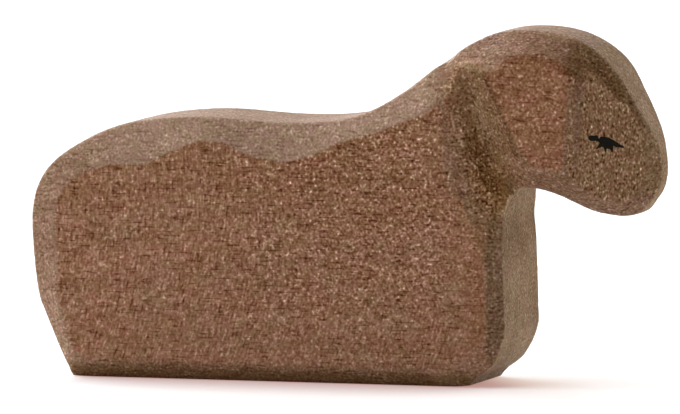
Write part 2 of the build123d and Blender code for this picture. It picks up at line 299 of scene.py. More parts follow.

# Colours in linear light: the board's red, the layers over it as mask, share and colour, stain with painted
# light and shade in some, the sawn strips between those layers in two tones with painted light, the rubbed edges
# with their painted highlight, and the tints that make the hue uneven
BOARD_REDS = ((0.246, 0.114, 0.062), (0.250, 0.128, 0.072))
LAYERS_UNDER_STRIPS = (
    ("rich", 0.7, (0.205, 0.092, 0.040)),
    ("ear", 1.0, (0.226, 0.102, 0.051)),
    ("carved", 0.55, (0.186, 0.109, 0.067)),
    # pale colour on up-facing bevels: paler wood, with painted light from above and sheen
    ("pale_sheen", 0.92, (0.292, 0.185, 0.125)),
    ("face", 1.0, (0.220, 0.116, 0.056)),
    # the ear's side of the hollow: olive wood, darkened as painted shade in the groove
    ("slope", 1.0, (0.160, 0.084, 0.037)),
    ("rim", 0.8, (0.205, 0.118, 0.052)),
    # the breast's bevel: darkened as painted shade where it turns from the lamps
    ("chest", 0.5, (0.150, 0.086, 0.040)),
)
# Sawn strips in two tones by the way they face: paler to the front, with painted light and sheen, darker to the
# rear where the back lamps fall
REAR_STRIP = (0.205, 0.132, 0.087)
FRONT_STRIP = (0.308, 0.191, 0.104)
LAYERS_OVER_STRIPS = (
    ("top", 1.0, (0.196, 0.108, 0.058)),
    # dark: the head's rim cuts darker, and painted shade at the foot by the floor
    ("dark", 0.9, (0.115, 0.055, 0.015)),
    ("hollow", 1.0, (0.275, 0.150, 0.064)),
)
# Paler on convex edges: the stain rubbed thin there, with a painted edge highlight
RUBBED_HIGHLIGHT = (0.42, 0.27, 0.17)
RUBBED_HIGHLIGHT_RELIEF = (0.10, 0.5)
RUBBED_HIGHLIGHT_SHARE = 0.2
HUE_TINTS = ((0.975, 1.015, 0.955), (1.03, 0.985, 1.04))

# Noise's usual swing about its middle, its usual spans, and the power that turns light into seen brightness
NOISE_SWING = 0.107
NOISE_SPAN = (0.35, 0.65)
WIDE_SPAN = (0.3, 0.7)
SEEN_GAMMA = 2.2
DARKEST_SEEN = 0.04

# Grain: how sharp its rare flecks are, its deepest one, and its steps of seen brightness
FLECK_SHARP = 0.12
MARK_SHARP = 0.2
FLECK_FLOOR = -3.0
FLECK_STEP = 0.043
SAW_STEP = -0.020
STREAK_STEP = 0.037
DROP_SPAN = (0.66, 0.82)
DROP_STEP = 0.17
DASH_SPAN = (0.58, 0.76)
DASH_STEP = -0.14
EVEN_LESS = 0.3
CLOUD_SWING = (0.70, 1.30)
CLOUD_STEPS = (-0.016, 0.016)
BAND_STEPS = (-0.006, 0.018)
STRIP_STEPS = (-0.025, 0.025)
# Painted shade behind the ear's rear edge, and painted highlight on the throat's edge
EAR_EDGE_STEP = -0.075
THROAT_HIGHLIGHT_STEP = 0.30
TORN_FLECK_STEP = 0.03
TORN_CLOUD = (0.35, 0.6)
TORN_STEPS = (-0.10, 0.02)
# Nicks' grooves darkened as painted shade, and their lips made lighter
NICK_STEP = 0.16

# Bump of the grain: strength and depth, and what each mark adds to it
BUMP_STRENGTH = 0.4
BUMP_DEPTH = 0.06
FLECK_BUMP = 0.8
MARK_BUMP = 0.5
SAW_BUMP = 0.6

# Sheen: roughness between dull and rubbed flecks, and the shine of the stain and of the bare sawn strips
ROUGHNESS = (0.66, 0.5)
STAIN_SHINE = 0.13
STRIP_SHINE = 0.033
STRIP_SHINE_START = (0.2, 0.9)

# Painted eye: the plane of the face and the brush strokes on it, forward and up from the eye's centre
FACE_RUN = 11.2
FACE_FALL = 6.6
EYE_CENTRE = (42.4, -7.48, 38.4)
EYE_ACROSS = (-3.2, 3.6)
EYE_UP = (-2.2, 1.8)
EYE_STROKES = (
    ((-2.20, 0.68, 0.44), (-1.42, 0.70, 0.42)),
    ((-1.40, 0.55, 0.28), (-0.40, 0.35, 0.44)),
    ((-0.60, 0.72, 0.20), (0.00, 0.47, 0.40)),
    ((0.00, 0.42, 0.46), (0.93, 0.06, 0.46)),
    ((0.93, 0.06, 0.46), (1.95, -0.42, 0.34)),
    ((1.95, -0.42, 0.34), (2.85, -0.76, 0.15)),
    ((-0.25, -0.06, 0.66), (0.60, -0.34, 0.70)),
    ((-0.60, -0.34, 0.32), (-1.28, -0.88, 0.12)),
    ((0.06, -0.86, 0.32), (0.06, -1.26, 0.12)),
    ((0.95, -0.66, 0.40), (1.14, -1.46, 0.12)),
)
EYE_GAP = (-0.92, 0.76, 0.13)

# Paint: its depth and thinnest share, how far it sinks in, its soft edge, its mesh and its ragged outline
PAINT_DEPTH = 0.07
PAINT_THINNEST = 0.3
PAINT_SINK = 0.05
PAINT_EDGE = 0.22
PAINT_PITCH = 0.05
PAINT_RAGGED = 0.05
PAINT_RAGGED_SIZE = 0.35
PAINT_REACH = 3
LEAST_SLOPE = 0.2
PAINT_COLOURS = ((0.0045, 0.0045, 0.004), (0.012, 0.008, 0.004))
PAINT_ROUGHNESS = (0.42, 0.6)
PAINT_SHINE = 0.06


def lattice_noise(points, size, seed):
    """Smooth random values from -1 to 1, one for each point, on a lattice of that cell size."""
    scaled = points / np.asarray(size, float)
    cell = np.floor(scaled).astype(np.int64)
    part = scaled - cell
    fade = part * part * (3 - 2 * part)
    value = np.zeros(len(points))
    for corner in itertools.product((0, 1), repeat=3):
        at = cell + corner
        mixed = (at[:, 0] * 73856093) ^ (at[:, 1] * 19349663) ^ (at[:, 2] * 83492791) ^ (seed * 2654435)
        mixed = ((mixed ^ (mixed >> 13)) * 1274126177) & 0x7FFFFFFF
        mixed = ((mixed ^ (mixed >> 15)) * 668265263) & 0x7FFFFFFF
        weight = np.prod(np.where(corner, fade, 1 - fade), axis=1)
        value += weight * (mixed / 0x3FFFFFFF - 1)
    return value


def ramp(value, low, high):
    """0 below low, 1 above high, and a smooth rise between."""
    part = np.clip((value - low) / (high - low), 0, 1)
    return part * part * (3 - 2 * part)


def drop(value, low, high):
    """1 below low, 0 above high, and a smooth fall between."""
    return ramp(-value, -high, -low)


def band(value, rise, fall):
    """1 between a rise and a fall, and 0 outside them."""
    return ramp(value, *rise) * drop(value, *fall)


def mesh_points(mesh):
    points = np.zeros(len(mesh.vertices) * 3, np.float32)
    mesh.vertices.foreach_get("co", points)
    return points.reshape(-1, 3).astype(float)


def mesh_normals(mesh):
    normals = np.zeros(len(mesh.vertices) * 3, np.float32)
    mesh.vertex_normals.foreach_get("vector", normals)
    return normals.reshape(-1, 3).astype(float)


def set_points(mesh, points):
    mesh.vertices.foreach_set("co", points.astype(np.float32).ravel())
    mesh.update()


def set_attribute(mesh, name, values):
    attribute = mesh.attributes.new(name, "FLOAT", "POINT")
    attribute.data.foreach_set("value", values.astype(np.float32))


def even_mesh(node, pitch):
    """A copy of a CAD node's mesh as even quads, in millimetres."""
    copy = bpy.data.objects.new("even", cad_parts[node].data.copy())
    copy.data.transform(Matrix.Scale(1 / MM, 4))
    bpy.context.scene.collection.objects.link(copy)
    remesh = copy.modifiers.new("remesh", "REMESH")
    remesh.mode = "VOXEL"
    remesh.voxel_size = pitch
    evaluated = copy.evaluated_get(bpy.context.evaluated_depsgraph_get())
    mesh = bpy.data.meshes.new_from_object(evaluated)
    bpy.data.objects.remove(copy)
    mesh.materials.clear()
    return mesh


def smoothed(values, edges, rounds):
    """Columns of values drawn towards the mean of each point's neighbours, a number of rounds."""
    count = np.bincount(edges.ravel(), minlength=len(values))
    for _ in range(rounds):
        near = [
            np.bincount(edges[:, 0], values[edges[:, 1], column], len(values))
            + np.bincount(edges[:, 1], values[edges[:, 0], column], len(values))
            for column in range(values.shape[1])
        ]
        values = (values + np.stack(near, axis=1) / count[:, None]) / 2
    return values


def line_mask(points, ends, reach):
    """1 on a line of the board's face, fading to 0 away from it, and the place along it from 0 to 1."""
    first, last = np.array(ends[0]), np.array(ends[1])
    flat = points[:, [0, 2]]
    along = np.clip((flat - first) @ (last - first) / ((last - first) @ (last - first)), 0, 1)
    away = np.linalg.norm(flat - first - along[:, None] * (last - first), axis=1)
    return np.exp(-((away / reach) ** 2)), along


def spot_mask(points, middle, reach):
    """1 at a spot of the board's face, fading to 0 away from it."""
    away = np.linalg.norm(points[:, [0, 2]] - middle, axis=1)
    return np.exp(-((away / reach) ** 2))


def beside_line(points, ends):
    """Distance from a line of the board's face, positive on the nose's side, and the place along it."""
    first, last = np.array(ends[0]), np.array(ends[1])
    run = (last - first) / np.linalg.norm(last - first)
    flat = points[:, [0, 2]] - first
    return flat @ np.array((-run[1], run[0])), flat @ run / np.linalg.norm(last - first)


def softened(sawn, edges):
    """The sawn solid with sanded edges, a crisper foot, and soft turns at the head, hollow, ear and base."""
    x, height = sawn[:, 0], sawn[:, 2]
    light = smoothed(sawn, edges, FLOOR_ROUNDS)
    sanded = smoothed(light, edges, SANDING_ROUNDS - FLOOR_ROUNDS)
    sanded[:, 2] = light[:, 2] + (sanded[:, 2] - light[:, 2]) * ramp(height, *FOOT_EASE)
    round_head = smoothed(sanded, edges, HEAD_ROUNDS)
    soft = smoothed(round_head, edges, SOFT_ROUNDS)
    sanded += (round_head - sanded) * ramp(x, *HEAD_START)[:, None]
    ease = line_mask(sawn, SHOULDER_LINE, SHOULDER_REACH)[0]
    ease = np.maximum(ease, EAR_TOP_EASE * line_mask(sawn, EAR_TOP_LINE, EAR_TOP_REACH)[0])
    ease = np.maximum(ease, EAR_FRONT_EASE * line_mask(sawn, EAR_FRONT_LINE, EAR_FRONT_REACH)[0])
    eased = sanded + (soft - sanded) * ease[:, None]
    eased[:, 1] += (soft - sanded)[:, 1] * BASE_EASE * band(height, BASE_RISE, BASE_FALL)
    return eased


def touch_shape(points, normals):
    """How far the knife's touches move the sawn profile outwards, in millimetres."""
    lift = np.zeros(len(points))
    for middle, reach, depth in TOUCHES:
        away = ((points[:, [0, 2]] - np.array(middle)) / np.array(reach)) ** 2
        lift += depth * np.exp(-away.sum(1))
    return lift * ramp(1 - np.abs(normals[:, 1]), *TOUCH_TURN)


def nick_shape(points):
    """Chisel nicks: a fine groove with a raised lip behind it, from -1 to 1."""
    x, height = points[:, 0], points[:, 2]
    lift = np.zeros(len(points))
    for (top_x, top), (low_x, low) in NICKS:
        run = np.clip((top - height) / (top - low), 0, 1)
        ends = band(height, (low - NICK_TAPER, low), (top, top + NICK_TAPER))
        wander = NICK_WANDER * lattice_noise(points * (0, 0, 1), NICK_WANDER_SIZE, 15)
        across = (x - top_x - run * (low_x - top_x) - wander) / NICK_WIDTH
        lift -= ends * (NICK_GROOVE * np.exp(-(across**2)) - np.exp(-((across - NICK_LIP_PLACE) ** 2)))
    return lift * ramp(lattice_noise(points, NICK_BREAK_SIZE, 16), *NICK_BREAK)


def basic_cuts(points, normals):
    """The places and turns of the surface, and the masks of the cuts that the other masks are made from."""
    x, height = points[:, 0], points[:, 2]
    side = np.abs(normals[:, 1])
    carved = ramp(1 - side, *CARVED_TURN)
    strip = ramp(1 - side, *STRIP_TURN)
    slant = carved * (1 - strip)
    return SimpleNamespace(
        points=points,
        normals=normals,
        side=side,
        x=x,
        height=height,
        carved=carved,
        strip=strip,
        slant=slant,
        upward=slant * ramp(normals[:, 2], *UPWARD_TURN),
        inside=drop(x, *EAR_END) * (1 - strip),
        foot=drop(height, *FOOT_FALL) * (1 - strip),
        breast=ramp(x, *BREAST_START) * drop(height, *BREAST_FALL),
        breast_edge=ramp(x, *BREAST_EDGE),
    )


def head_masks(cut):
    """The flat of the face, and the cuts round it past the ear's step."""
    face = ramp(cut.normals[:, 0], *FACE_TURN) * ramp(cut.side, *FACE_SIDE) * ramp(cut.x, *FACE_START)
    ear_front = EAR_FRONT[0] + (cut.height - EAR_FRONT[1]) * EAR_FRONT[2]
    past_step = np.maximum(ramp(cut.x - ear_front, *EAR_STEP), ramp(cut.height, *EAR_STEP_TOP))
    return face, cut.slant * ramp(cut.x, *RIM_START) * (1 - face) * past_step


def brow_masks(cut):
    """The bevel over the ear, and what lies under the arch where the ear's stain ends."""
    crest_x, crest_z, half_width, fall = EAR_ARCH
    arch = crest_z - fall * ((cut.x - crest_x) / half_width) ** 2 - cut.height
    brow = band(cut.x, BROW_REAR, BROW_FRONT) * ramp(cut.height, *BROW_RISE) * (1 - cut.strip)
    return brow, ramp(arch, -ARCH_EDGE, ARCH_EDGE)


def slope_mask(cut):
    """The ear's side of the hollow, which faces the rump."""
    level = drop(np.abs(cut.normals[:, 2]), *LEVEL_TURN)
    slope = cut.slant * cut.inside * level * ramp(cut.x, *SLOPE_START)
    return slope * ramp(-cut.normals[:, 0], *SLOPE_TURN) * band(cut.height, SLOPE_RISE, SLOPE_FALL)


def ear_edge_mask(cut):
    """The shade behind the ear's rear edge."""
    beside, along = beside_line(cut.points, EAR_REAR_LINE)
    ends = band(along, EAR_REAR_RISE, EAR_REAR_FALL)
    return cut.inside * ends * band(beside, EAR_SHADE_RISE, EAR_SHADE_FALL)


def pale_sheen_mask(cut):
    """Up-facing bevels of the back and the neck, and less of the rump, made pale: their paler wood with painted
    light from above and sheen.
    """
    back = cut.upward * drop(cut.x, *PALE_SHEEN_END) * (1 - RUMP_TOP_LESS * drop(cut.x, *RUMP_TOP_END))
    rump = cut.slant * drop(cut.x, *RUMP_END) * ramp(cut.height, *RUMP_RISE)
    return np.maximum(back, RUMP_PALE_SHEEN * rump)


def busy_share(cut, layers):
    """How strongly the grain shows, from the flank's own share to each layer's."""
    busy = 1 - CALM_BREAST * ramp(cut.x, *CALM_BREAST_START)
    busy *= 1 - CALM_FOOT * drop(cut.height, *CALM_FOOT_FALL)
    busy *= 1 - CALM_RUMP * drop(cut.x, *CALM_RUMP_END)
    for name, share in BUSY_SHARES.items():
        busy += (share - busy) * layers[name]
    return busy


def tone_steps(cut, brow, under_arch):
    """Steps of seen brightness, the sum over their places and the spots: painted light and shade at some, plain
    lighter or darker steps at the others.
    """
    ridge = band(cut.x, RIDGE_REAR, RIDGE_FRONT) * band(cut.height, RIDGE_RISE, RIDGE_FALL)
    rump = drop(cut.x, *RUMP_SHADE_END) * band(cut.height, RUMP_SHADE_RISE, RUMP_SHADE_FALL)
    head_strip = ramp(cut.x, *HEAD_STRIP_START) * ramp(cut.height, *HEAD_STRIP_RISE)
    places = {
        "run": cut.inside * line_mask(cut.points, RUN_LINE, RUN_REACH)[0],
        "facet": cut.inside * line_mask(cut.points, FACET_LINE, FACET_REACH)[0] * (1 - cut.upward),
        "ridge": cut.inside * ridge,
        "neck": cut.upward * band(cut.x, NECK_REAR, NECK_FRONT),
        "rump": cut.slant * rump,
        "flank_edge": cut.carved * cut.breast * (1 - cut.breast_edge),
        "head_strip": cut.strip * head_strip,
        "brow_over_arch": brow * (1 - cut.carved) * (1 - under_arch),
        "brow_under_arch": brow * cut.carved * under_arch,
        "toe": cut.strip * cut.breast * drop(cut.height, *TOE_FALL),
        "breast_top": cut.strip * cut.breast * ramp(cut.height, *BREAST_RISE),
    }
    tone = sum(TONES[name] * mask for name, mask in places.items())
    for middle, reach, step in SPOTS:
        tone += step * cut.inside * spot_mask(cut.points, middle, reach)
    return tone


def stain_and_painted_light_masks(points, normals):
    """Where the stain lies thick or thin, where light and shade are painted, and where the knife and the saw
    cut, each from 0 to 1.
    """
    cut = basic_cuts(points, normals)
    face, rim_cut = head_masks(cut)
    brow, under_arch = brow_masks(cut)
    slope, pale_sheen = slope_mask(cut), pale_sheen_mask(cut)
    valley, down = line_mask(points, VALLEY_LINE, VALLEY_REACH)
    tear, low = line_mask(points, TEAR_LINE, TEAR_REACH)
    stained = cut.carved + (1 - under_arch - cut.carved) * brow
    layers = {**vars(cut), "pale_sheen": pale_sheen, "slope": slope, "face": face}
    sawn = np.maximum(drop(cut.x, *SAWN_END), SAWN_LOW * drop(cut.height, *SAWN_FALL))
    return {
        "carved": stained * (1 - cut.breast * (1 - cut.breast_edge)),
        "chest": cut.slant * cut.breast * cut.breast_edge,
        "throat_highlight": 4 * cut.strip * (1 - cut.strip) * spot_mask(points, THROAT_HIGHLIGHT, THROAT_HIGHLIGHT_REACH),
        "tone": tone_steps(cut, brow, under_arch),
        "ahead": ramp(normals[:, 0], *AHEAD_TURN) * ramp(cut.x, *AHEAD_START),
        "upward": cut.upward * drop(cut.x, *NECK_FRONT),
        "strip": cut.strip,
        "face": face,
        "slope": slope,
        "ear": (1 - stained) * ramp(cut.x, *EAR_START),
        "top": cut.strip * ramp(normals[:, 2], *TOP_TURN),
        "pale_sheen": pale_sheen,
        "dark": np.clip(DARK_SHARE * (rim_cut * ramp(cut.height, *RIM_TOP) + cut.foot), 0, 1),
        "rim": rim_cut * band(cut.height, CHIN_RISE, RIM_TOP),
        "ear_edge": ear_edge_mask(cut),
        "hollow": cut.slant * cut.inside * valley * (HOLLOW_TOP + (1 - HOLLOW_TOP) * down) * (1 - slope),
        "torn": cut.inside * tear * (TORN_TOP + (1 - TORN_TOP) * low) * drop(cut.x, *TORN_END),
        "sawn": (1 - cut.slant) * sawn * (1 - cut.strip),
        "busy": busy_share(cut, layers),
        "saw": cut.x + (cut.height - SAW_LEVEL) ** 2 / (2 * SAW_RADIUS),
    }


def add_spread_masks(masks, points, edges):
    """Masks of what spreads from the cuts' edges: rich stain below the bevels, and the strips' pale colour, with
    its painted light and sheen, at the head.
    """
    x, height = points[:, 0], points[:, 2]
    spread = smoothed(np.column_stack([masks.pop("upward"), masks["strip"]]), edges, EDGE_ROUNDS)
    rich = np.maximum(np.clip(BEVEL_SPREAD * spread[:, 0], 0, 1), RICH_TOP * ramp(height, *RICH_RISE))
    masks["rich"] = rich * (1 - masks["carved"])
    wide = np.clip(STRIP_SPREAD * spread[:, 1], 0, 1) * ramp(x, *HEAD_START) * ramp(height, *PALE_RISE)
    masks["pale"] = np.maximum(masks["strip"], wide)


def carve_body():
    """The wooden body: the CAD solid with sanded edges, knife waves, raised fibres and torn grain."""
    mesh = even_mesh("wooden_body", BODY_PITCH)
    edges = np.zeros(len(mesh.edges) * 2, np.int32)
    mesh.edges.foreach_get("vertices", edges)
    edges = edges.reshape(-1, 2)
    sanded = softened(mesh_points(mesh), edges)
    set_points(mesh, sanded)
    normals = mesh_normals(mesh)
    masks = stain_and_painted_light_masks(sanded, normals)
    add_spread_masks(masks, sanded, edges)
    masks["relief"] = ((sanded - smoothed(sanded, edges, RELIEF_ROUNDS)) * normals).sum(1)
    masks["nick"] = nick_shape(sanded)
    lift = (
        WAVE_DEPTH * (lattice_noise(sanded, WAVE_SIZE, 11) - 0.5)
        + FIBRE_DEPTH * lattice_noise(sanded, FIBRE_SIZE, 12)
        + FUZZ_DEPTH * lattice_noise(sanded, FUZZ_SIZE, 13)
        + TEAR_DEPTH * masks["torn"] * (lattice_noise(sanded, TEAR_SIZE, 14) - 0.35)
        + NICK_DEPTH * masks["nick"]
    ) * ramp(sanded[:, 2], *UNEVEN_START)
    lift += touch_shape(sanded, normals)
    shaped = sanded + normals * lift[:, None]
    set_points(mesh, np.clip(shaped, np.array(cad_low) / MM, np.array(cad_high) / MM))
    for name, mask in masks.items():
        set_attribute(mesh, name, mask)
    mesh.transform(Matrix.Scale(MM, 4))
    for polygon in mesh.polygons:
        polygon.use_smooth = True
    return mesh


def stroke_field(places):
    """How far each place of the face's plane lies inside the brush strokes, in millimetres."""
    field = np.full(len(places), -9.0)
    for start, end in EYE_STROKES:
        a, b = np.array(start), np.array(end)
        run = b[:2] - a[:2]
        along = np.clip((places - a[:2]) @ run / (run @ run), 0, 1)
        away = np.linalg.norm(places - a[:2] - along[:, None] * run, axis=1)
        field = np.maximum(field, a[2] + along * (b[2] - a[2]) - away)
    gap = np.linalg.norm(places - np.array(EYE_GAP[:2]), axis=1) - EYE_GAP[2]
    field = np.minimum(field, gap)
    flat = np.column_stack([places, np.zeros(len(places))])
    return field + PAINT_RAGGED * lattice_noise(flat, PAINT_RAGGED_SIZE, 21)


def paint_outline():
    """Grid places inside the strokes, with the rim drawn onto their outline, and the quads between them."""
    across = np.arange(*EYE_ACROSS, PAINT_PITCH)
    up = np.arange(*EYE_UP, PAINT_PITCH)
    grid = np.stack(np.meshgrid(across, up, indexing="ij"), axis=-1)
    inside = stroke_field(grid.reshape(-1, 2)).reshape(grid.shape[:2]) > 0
    whole = inside[:-1, :-1] & inside[1:, :-1] & inside[1:, 1:] & inside[:-1, 1:]
    number = np.arange(inside.size).reshape(inside.shape)
    quads = np.stack([number[:-1, :-1], number[1:, :-1], number[1:, 1:], number[:-1, 1:]], axis=-1)[whole]
    used, quads = np.unique(quads, return_inverse=True)
    quads = quads.reshape(-1, 4)
    places = grid.reshape(-1, 2)[used]
    rim = np.unique(rim_edges(quads))
    step = PAINT_PITCH / 2
    for _ in range(2):
        field = stroke_field(places[rim])
        slope = np.stack(
            [
                (stroke_field(places[rim] + way) - stroke_field(places[rim] - way)) / (2 * step)
                for way in (np.array((step, 0)), np.array((0, step)))
            ],
            axis=1,
        )
        move = -field[:, None] * slope / np.maximum((slope**2).sum(1), LEAST_SLOPE)[:, None]
        places[rim] += np.clip(move, -step, step)
    return places, quads


def rim_edges(quads):
    """Edges of the quads that belong to one quad only, in the quad's own direction."""
    sides = [(int(q[i]), int(q[(i + 1) % 4])) for q in quads for i in range(4)]
    known = set(sides)
    return [(a, b) for a, b in sides if (b, a) not in known]


def paint_eye(body_tree, side):
    """A brushed eye on the face: side -1 is the board's -Y face and 1 its mirror on +Y."""
    places, quads = paint_outline()
    depth = np.clip(stroke_field(places) / PAINT_EDGE, 0, 1)
    length = math.hypot(FACE_RUN, FACE_FALL)
    forward = Vector((FACE_RUN / length, FACE_FALL / length, 0))
    outward = Vector((FACE_FALL / length, -FACE_RUN / length, 0))
    centre = Vector(EYE_CENTRE)
    if side > 0:
        flip = Matrix.Diagonal((1, -1, 1))
        forward, outward, centre = flip @ forward, flip @ outward, flip @ centre
    top, bottom = [], []
    for (x, y), share in zip(places, depth):
        point = centre + forward * float(x) + Vector((0, 0, float(y)))
        hit = body_tree.ray_cast((point + outward * PAINT_REACH) * MM, -outward)[0] / MM
        thickness = PAINT_DEPTH * (PAINT_THINNEST + (1 - PAINT_THINNEST) * math.sqrt(share))
        top.append(hit + outward * thickness)
        bottom.append(hit - outward * PAINT_SINK)
    count = len(places)
    faces = [tuple(int(i) for i in q) for q in quads]
    faces += [tuple(int(i) + count for i in reversed(q)) for q in quads]
    faces += [(b, a, a + count, b + count) for a, b in rim_edges(quads)]
    if side > 0:
        faces = [tuple(reversed(f)) for f in faces]
    mesh = bpy.data.meshes.new("eye")
    mesh.from_pydata([tuple(p * MM) for p in top + bottom], [], faces)
    for polygon in mesh.polygons:
        polygon.use_smooth = True
    return mesh


class Nodes:
    """A material's node tree, with short ways to add its nodes and links."""

    def __init__(self, name):
        self.material = bpy.data.materials.new(name)
        self.material.use_nodes = True
        self.tree = self.material.node_tree
        self.shader = self.tree.nodes["Principled BSDF"]

    def fill(self, socket, value):
        """A socket's link or its own value."""
        if isinstance(value, bpy.types.NodeSocket):
            self.tree.links.new(value, socket)
        else:
            socket.default_value = value

    def add(self, kind, inputs=None, **settings):
        node = self.tree.nodes.new("ShaderNode" + kind)
        for key, value in settings.items():
            setattr(node, key, value)
        for key, value in (inputs or {}).items():
            self.fill(node.inputs[key], value)
        return node

    def math(self, operation, a, b=0.0):
        return self.add("Math", {0: a, 1: b}, operation=operation).outputs[0]

    def times(self, a, b):
        return self.math("MULTIPLY", a, b)

    def total(self, first, *others):
        """The sum of a number of values."""
        for other in others:
            first = self.math("ADD", first, other)
        return first

    def attribute(self, name):
        return self.add("Attribute", attribute_name=name).outputs["Fac"]

    def saw_place(self, width, length, shift):
        """Coordinates along the saw's arcs, in cells of that width and length in millimetres."""
        parts = self.add("SeparateXYZ", {0: self.place((length, length, length), shift)})
        across = self.math("DIVIDE", self.attribute("saw"), width)
        return self.add("CombineXYZ", {0: across, 1: parts.outputs[1], 2: parts.outputs[2]}).outputs[0]

    def place(self, scale, shift=0.0, turn=0.0):
        """Coordinates in the object's frame, turned about Y, in cells of that size in millimetres."""
        where = self.add("TexCoord").outputs["Object"]
        if turn:
            where = self.add("Mapping", {"Vector": where, "Rotation": (0, math.radians(turn), 0)}).outputs[0]
        factor = [1 / (MM * s) for s in scale]
        inputs = {"Vector": where, "Location": (shift, shift, shift), "Scale": factor}
        return self.add("Mapping", inputs).outputs[0]

    def noise(self, where, detail=2.0, roughness=0.5):
        inputs = {"Vector": where, "Scale": 1.0, "Detail": detail, "Roughness": roughness}
        return self.add("TexNoise", inputs).outputs["Fac"]

    def span(self, value, low, high, to_low=0.0, to_high=1.0):
        """A value's stretch from low to high, spread smoothly to another stretch."""
        inputs = {"Value": value, "From Min": low, "From Max": high, "To Min": to_low, "To Max": to_high}
        return self.add("MapRange", inputs, interpolation_type="SMOOTHSTEP").outputs[0]

    def blend(self, share, a, b, mode="MIX"):
        """Two colours mixed by a share. The mix node's colour sockets stand after those of its other kinds."""
        inputs = {0: share, 6: a, 7: b}
        return self.add("Mix", inputs, data_type="RGBA", blend_type=mode).outputs[2]

    def layers(self, colour, layers):
        """A colour under layers of stain and of painted light and shade, each a mask's name, its share and its
        colour.
        """
        for name, share, stain in layers:
            colour = self.blend(self.times(self.attribute(name), share), colour, rgb(*stain))
        return colour

    def sparse(self, value, sharp):
        """A noise's swings in steps of its usual swing, with its rare strong ones made stronger."""
        swing = self.math("DIVIDE", self.math("SUBTRACT", value, 0.5), NOISE_SWING)
        square = self.times(swing, swing)
        return self.times(swing, self.math("ADD", self.times(square, sharp), 1 - sharp))

    def brighten(self, colour, step):
        """A colour moved by the same step of seen brightness in red, green and blue."""
        seen = self.add("Gamma", {"Color": colour, "Gamma": 1 / SEEN_GAMMA}).outputs[0]
        moved = self.add("VectorMath", {0: seen, 1: step}, operation="ADD").outputs[0]
        least = (DARKEST_SEEN, DARKEST_SEEN, DARKEST_SEEN)
        kept = self.add("VectorMath", {0: moved, 1: least}, operation="MAXIMUM").outputs[0]
        return self.add("Gamma", {"Color": kept, "Gamma": SEEN_GAMMA}).outputs[0]

    def set(self, **inputs):
        """Inputs of the shader, by their names with _ for a space."""
        for key, value in inputs.items():
            self.fill(self.shader.inputs[key.replace("_", " ")], value)


def rgb(red, green, blue):
    return (red, green, blue, 1.0)


def wood_noises(n):
    """The noises of the stain and the grain, each with its cells' size in millimetres."""
    return SimpleNamespace(
        patches=n.noise(n.place((7, 5, 5)), 3, 0.6),
        hue=n.noise(n.place((2.4, 1.6, 1.6), 23.3), 1, 0.6),
        cloud=n.noise(n.place((1.6, 1.2, 1.2), 3.1), 2, 0.6),
        bands=n.noise(n.place((40, 3.0, 2.2), 31.7), 2, 0.5),
        dashes=n.noise(n.place((2.4, 0.60, 0.32), 5.3), 0),
        saw=n.noise(n.saw_place(0.32, 1.25, 7.1), 0),
        streaks=n.noise(n.saw_place(0.25, 0.50, 13.7), 0),
        flecks=n.noise(n.place((0.39, 0.42, 0.39), 7.7, 25), 0),
        drops=n.noise(n.place((0.46, 0.48, 0.54), 11.9, -12), 0),
    )


def stain_and_painted_light_colour(n, noises):
    """The board's red under its layers of stain and of painted light and shade, rubbed and painted as highlit on
    the edges, and a little uneven in hue.
    """
    red, paler_red = BOARD_REDS
    colour = n.blend(n.span(noises.patches, *NOISE_SPAN), rgb(*red), rgb(*paler_red))
    colour = n.layers(colour, LAYERS_UNDER_STRIPS)
    # Strips paler where they face forward: painted light and sheen
    strip = n.blend(n.attribute("ahead"), rgb(*REAR_STRIP), rgb(*FRONT_STRIP))
    colour = n.blend(n.attribute("pale"), colour, strip)
    colour = n.layers(colour, LAYERS_OVER_STRIPS)
    rubbed_highlight = n.span(n.attribute("relief"), *RUBBED_HIGHLIGHT_RELIEF, 0, RUBBED_HIGHLIGHT_SHARE)
    colour = n.blend(rubbed_highlight, colour, rgb(*RUBBED_HIGHLIGHT))
    green, rosy = HUE_TINTS
    tint = n.blend(n.span(noises.hue, *NOISE_SPAN), rgb(*green), rgb(*rosy))
    return n.blend(1.0, colour, tint, "MULTIPLY")


